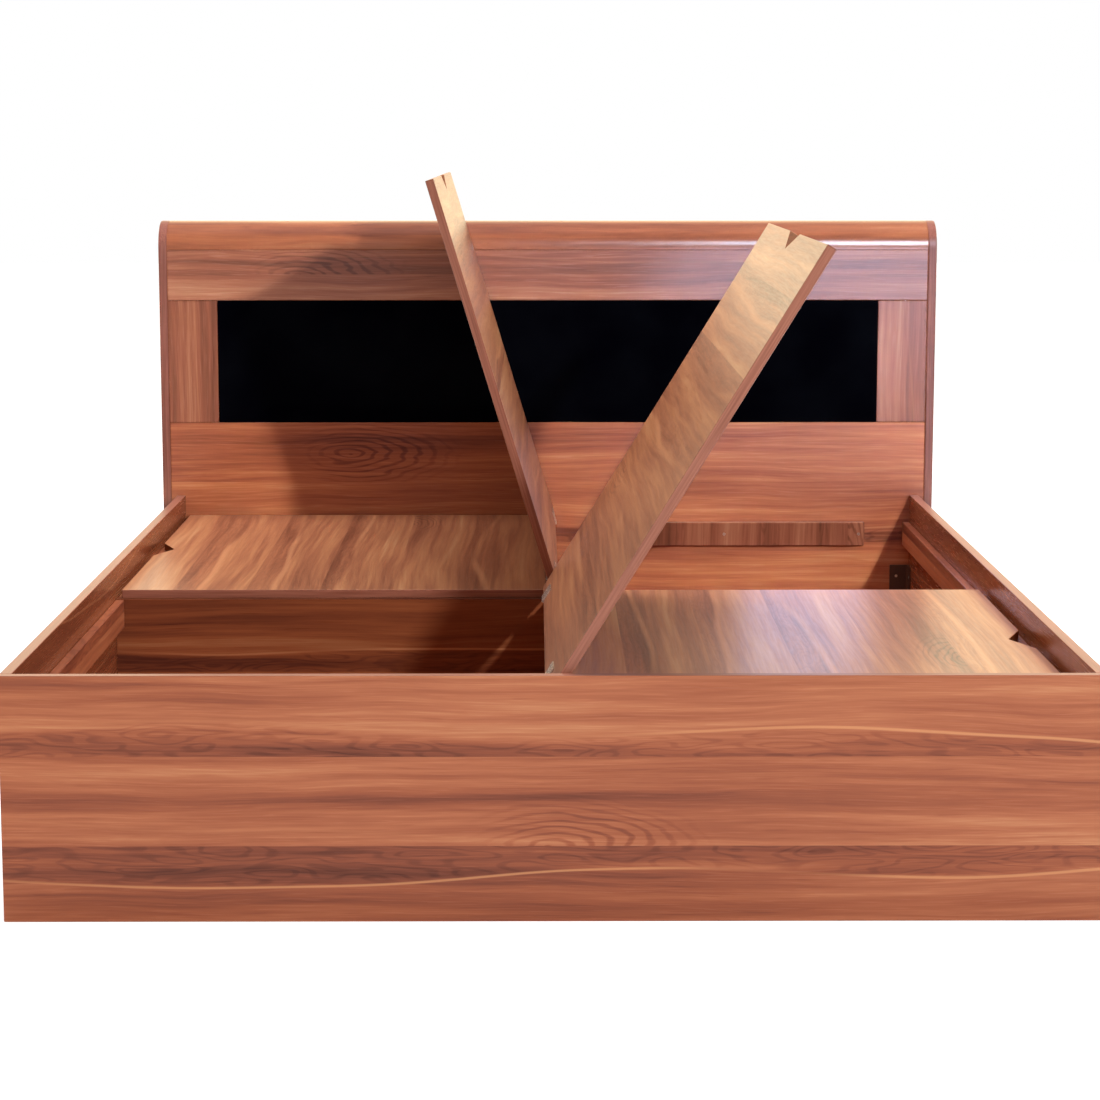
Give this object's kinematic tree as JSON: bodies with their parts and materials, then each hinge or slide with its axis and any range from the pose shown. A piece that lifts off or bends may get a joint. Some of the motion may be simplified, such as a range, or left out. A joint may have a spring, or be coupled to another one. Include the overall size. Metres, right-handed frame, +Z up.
{
  "type": "storage bed",
  "caption": "Queen size box bed with a hollow headboard, dark glass band, rounded top, and hinged lids with finger notches over storage compartments.",
  "frame": {"origin": "middle of the bed on the floor, at the bottom centre of its box", "axes": "+X to the right seen from the foot end, +Y from the foot towards the headboard, +Z up"},
  "size_m": [1.646, 2.08, 1.0469],
  "materials": {
    "walnut": "glossy walnut laminate",
    "walnut_top": "glossy postformed walnut laminate",
    "walnut_inside": "satin walnut laminate",
    "raw_board": "raw particle board",
    "black_glass": "polished, painted black behind",
    "steel": "nickel plated"
  },
  "bodies": {
    "bed_box": {"headboard_lower_panel": "walnut", "headboard_upper_panel": "walnut", "headboard_stile_left": "walnut", "headboard_stile_right": "walnut", "headboard_side_cap_left": "walnut", "headboard_side_cap_right": "walnut", "glass_band": "black_glass", "glass_backing_board": "raw_board", "headboard_top_moulding": "walnut_top", "headboard_back_panel": "raw_board", "headboard_core_bottom_rail": "raw_board", "headboard_core_top_rail": "raw_board", "headboard_core_post_left": "raw_board", "headboard_core_post_centre": "raw_board", "headboard_core_post_right": "raw_board", "side_rail_left": "walnut", "side_rail_right": "walnut", "footboard": "walnut", "cross_divider": "walnut_inside", "centre_divider": "walnut_inside", "base_panel_left": "walnut_inside", "base_panel_right": "walnut_inside", "base_cleat_outer_left": "raw_board", "base_cleat_inner_left": "raw_board", "base_cleat_outer_right": "raw_board", "base_cleat_inner_right": "raw_board", "head_ledger_left": "walnut_inside", "foot_ledger_left": "walnut_inside", "head_ledger_right": "walnut_inside", "foot_ledger_right": "walnut_inside", "rail_ledger_rear_left": "walnut_inside", "rail_ledger_front_left": "walnut_inside", "rail_ledger_rear_right": "walnut_inside", "rail_ledger_front_right": "walnut_inside", "corner_bracket_head_left": "steel", "corner_bracket_foot_left": "steel", "corner_bracket_head_right": "steel", "corner_bracket_foot_right": "steel", "hinge_fixed_leaf_rear_left_head_end": "steel", "hinge_fixed_leaf_rear_left_foot_end": "steel", "hinge_fixed_leaf_front_left_head_end": "steel", "hinge_fixed_leaf_front_left_foot_end": "steel", "hinge_fixed_leaf_rear_right_head_end": "steel", "hinge_fixed_leaf_rear_right_foot_end": "steel", "hinge_fixed_leaf_front_right_head_end": "steel", "hinge_fixed_leaf_front_right_foot_end": "steel"},
    "rear_left_lid": {"lid_rear_left": "walnut", "hinge_moving_leaf_rear_left_head_end": "steel", "hinge_moving_leaf_rear_left_foot_end": "steel"},
    "rear_right_lid": {"lid_rear_right": "walnut", "hinge_moving_leaf_rear_right_head_end": "steel", "hinge_moving_leaf_rear_right_foot_end": "steel"},
    "front_left_lid": {"lid_front_left": "walnut", "hinge_moving_leaf_front_left_head_end": "steel", "hinge_moving_leaf_front_left_foot_end": "steel"},
    "front_right_lid": {"lid_front_right": "walnut", "hinge_moving_leaf_front_right_head_end": "steel", "hinge_moving_leaf_front_right_foot_end": "steel"}
  },
  "joints": [
    {"name": "rear_right_lid_hinge", "type": "hinge", "parent": "bed_box", "child": "rear_right_lid", "pos_m": [0.005, 0.466, 0.3157], "axis": [0, -1, 0], "range_deg": [-106.9, 0]},
    {"name": "rear_left_lid_hinge", "type": "hinge", "parent": "bed_box", "child": "rear_left_lid", "pos_m": [-0.005, 0.466, 0.3157], "axis": [0, 1, 0], "range_deg": [0, 68]},
    {"name": "front_right_lid_hinge", "type": "hinge", "parent": "bed_box", "child": "front_right_lid", "pos_m": [0.005, -0.525, 0.3157], "axis": [0, -1, 0], "range_deg": [0, 53]},
    {"name": "front_left_lid_hinge", "type": "hinge", "parent": "bed_box", "child": "front_left_lid", "pos_m": [-0.005, -0.525, 0.3157], "axis": [0, 1, 0], "range_deg": [-121.5, 0]}
  ]
}
